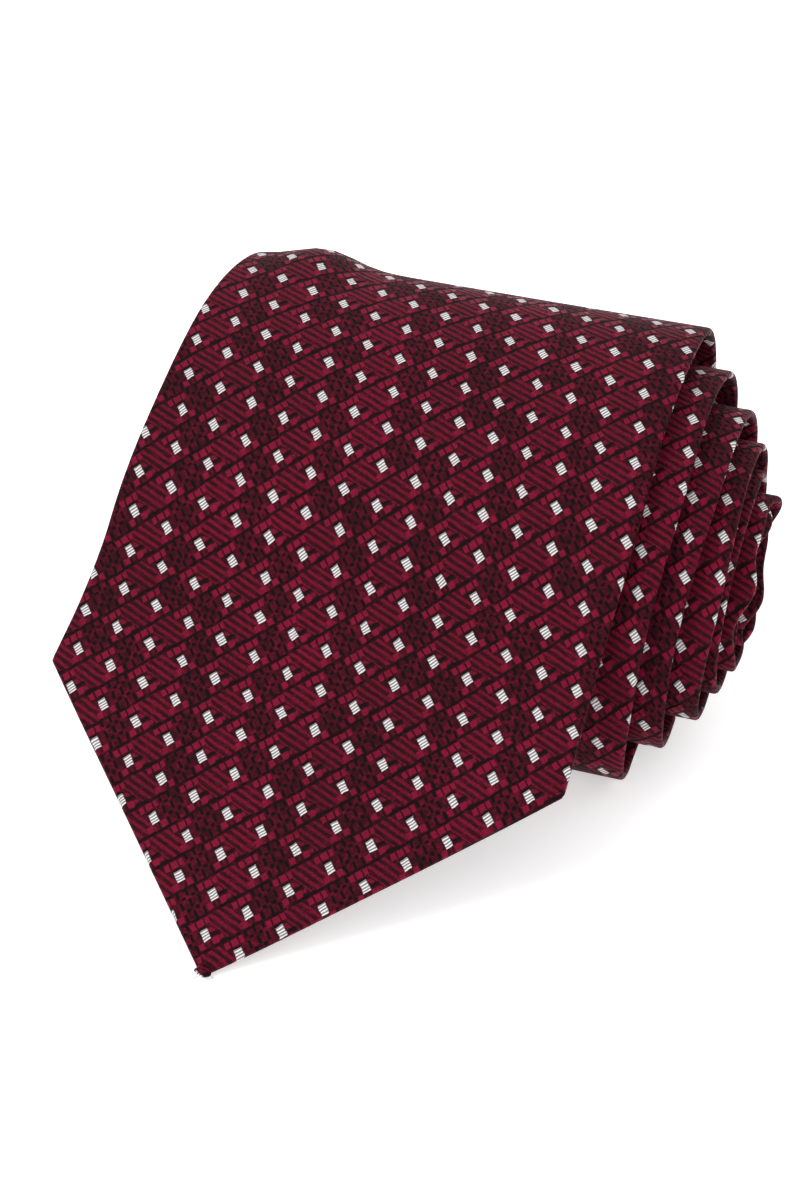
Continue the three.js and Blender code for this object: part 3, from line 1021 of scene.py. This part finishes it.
def tip_knot():
    rng = np.random.default_rng(7)
    tip = LINE.at(BLUNT_TIP)
    centre = np.array(tie_point(tip, tip.middle, 0)) + (0, -0.2, 0.25)
    points = [centre + (0, 0, KNOT_RADIUS)]
    for ring in range(1, KNOT_RINGS):
        polar = math.pi * ring / KNOT_RINGS
        for k in range(KNOT_SIDES):
            turn = 2 * math.pi * k / KNOT_SIDES
            lump = 1 + 0.16 * math.sin(3 * turn + 2 * polar) + 0.12 * rng.standard_normal() * math.sin(polar)
            radius = KNOT_RADIUS * lump
            points.append(centre + (
                1.2 * radius * math.sin(polar) * math.cos(turn),
                radius * math.sin(polar) * math.sin(turn),
                0.85 * radius * math.cos(polar),
            ))
    points.append(centre - (0, 0, 0.85 * KNOT_RADIUS))
    points = [(x, y, max(z, 0.03)) for x, y, z in points]
    faces = [(0, 1 + k, 1 + (k + 1) % KNOT_SIDES) for k in range(KNOT_SIDES)]
    for ring in range(KNOT_RINGS - 2):
        for k in range(KNOT_SIDES):
            a = 1 + ring * KNOT_SIDES + k
            b = 1 + ring * KNOT_SIDES + (k + 1) % KNOT_SIDES
            faces.append((a, a + KNOT_SIDES, b + KNOT_SIDES, b))
    last = len(points) - 1
    base = 1 + (KNOT_RINGS - 2) * KNOT_SIDES
    faces += [(last, base + (k + 1) % KNOT_SIDES, base + k) for k in range(KNOT_SIDES)]
    uvs = [((x - centre[0]) * MM, (y - centre[1] + z) * MM) for x, y, z in points]
    made = closed_mesh("tip_knot", points, faces, uvs, JACQUARD)
    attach(made, "flap")
    for i in range(FIBRES):
        loose_fibre(i, centre, rng)


def loose_fibre(i, centre, rng):
    """One thread end that has worked loose, a thin tapered tube."""
    heading = rng.uniform(math.pi * 1.05, math.pi * 1.95)
    long = rng.uniform(1.0, 2.6)
    lift = rng.uniform(-0.3, 0.5)
    curl = rng.uniform(-0.8, 0.8)
    points, faces = [], []
    steps, sides = 7, 5
    for n in range(steps):
        t = n / (steps - 1)
        aim = heading + curl * t
        middle = centre + long * t * np.array([math.cos(aim), math.sin(aim), lift * (1 - t)])
        radius = 0.055 * (1 - 0.7 * t)
        side = np.array([-math.sin(aim), math.cos(aim), 0])
        for k in range(sides):
            turn = 2 * math.pi * k / sides
            x, y, z = middle + radius * (math.cos(turn) * side + math.sin(turn) * np.array([0, 0, 1]))
            points.append((x, y, max(z, 0.03 + 0.04 * math.sin(turn))))
    for n in range(steps - 1):
        for k in range(sides):
            a, b = n * sides + k, n * sides + (k + 1) % sides
            faces.append((a, b, b + sides, a + sides))
    faces.append(list(range(sides))[::-1])
    faces.append([(steps - 1) * sides + k for k in range(sides)])
    uvs = [(x * MM, y * MM) for x, y, _ in points]
    made = closed_mesh(f"loose_fibre_{i + 1}", points, faces, uvs, THREAD)
    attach(made, "flap")


tip_knot()


# ---- Floor, lights and camera ----

def area_light(name, place, aim, size, power, colour=(1, 1, 1)):
    data = bpy.data.lights.new(name, "AREA")
    data.shape = "RECTANGLE"
    data.size, data.size_y = size
    data.energy = power
    data.color = colour
    lamp = bpy.data.objects.new(name, data)
    lamp.location = place
    lamp.rotation_euler = (Vector(aim) - Vector(place)).to_track_quat("-Z", "Y").to_euler()
    bpy.context.scene.collection.objects.link(lamp)
    return lamp


def floor_and_light():
    mesh = bpy.data.meshes.new("floor")
    mesh.from_pydata([(-6, -6, 0), (6, -6, 0), (6, 6, 0), (-6, 6, 0)], [], [(0, 1, 2, 3)])
    material, _, shader = new_material("pale_paper")
    set_constants(shader, Base_Color=(0.93, 0.93, 0.93, 1), Roughness=0.9, Specular_IOR_Level=0.1)
    # A weak glow of its own thins the tie's shadow.
    set_constants(shader, Emission_Color=(1, 1, 1, 1), Emission_Strength=0.45)
    mesh.materials.append(material)
    floor = bpy.data.objects.new("floor", mesh)
    bpy.context.scene.collection.objects.link(floor)
    world = bpy.data.worlds.new("studio")
    world.use_nodes = True
    world.node_tree.nodes["Background"].inputs[0].default_value = (1, 1, 1, 1)
    world.node_tree.nodes["Background"].inputs[1].default_value = 0.86
    bpy.context.scene.world = world
    area_light("key_over_left", (-0.55, -0.25, 0.95), (0, 0, 0.02), (0.6, 0.6), 4.5)
    area_light("fill_front", (0.5, -0.9, 0.5), (0, 0, 0.02), (0.8, 0.5), 1.2)
    area_light("rim_behind", (0.1, 0.9, 0.75), (0, 0, 0.03), (0.7, 0.3), 2.0)


# The point that the camera faces, from the blade's tip, in millimetres, and where it looks from.
AIM = (20.7, 25.0, 53.1)
VIEW_AZIMUTH = math.radians(18.2)
VIEW_ELEVATION = math.radians(37.7)
VIEW_DISTANCE = 0.344
LENS = 78.6


def make_camera():
    aim = Vector(np.array(AIM) + SHIFT) * MM
    back = Vector((
        math.sin(VIEW_AZIMUTH) * math.cos(VIEW_ELEVATION),
        -math.cos(VIEW_AZIMUTH) * math.cos(VIEW_ELEVATION),
        math.sin(VIEW_ELEVATION),
    ))
    data = bpy.data.cameras.new("camera")
    data.sensor_width = 36
    data.lens = LENS
    camera = bpy.data.objects.new("camera", data)
    camera.location = aim + VIEW_DISTANCE * back
    camera.rotation_euler = (-back).to_track_quat("-Z", "Y").to_euler()
    camera.data.clip_start = 0.01
    bpy.context.scene.collection.objects.link(camera)
    bpy.context.scene.camera = camera


floor_and_light()
make_camera()
bpy.context.scene.view_settings.view_transform = "Standard"
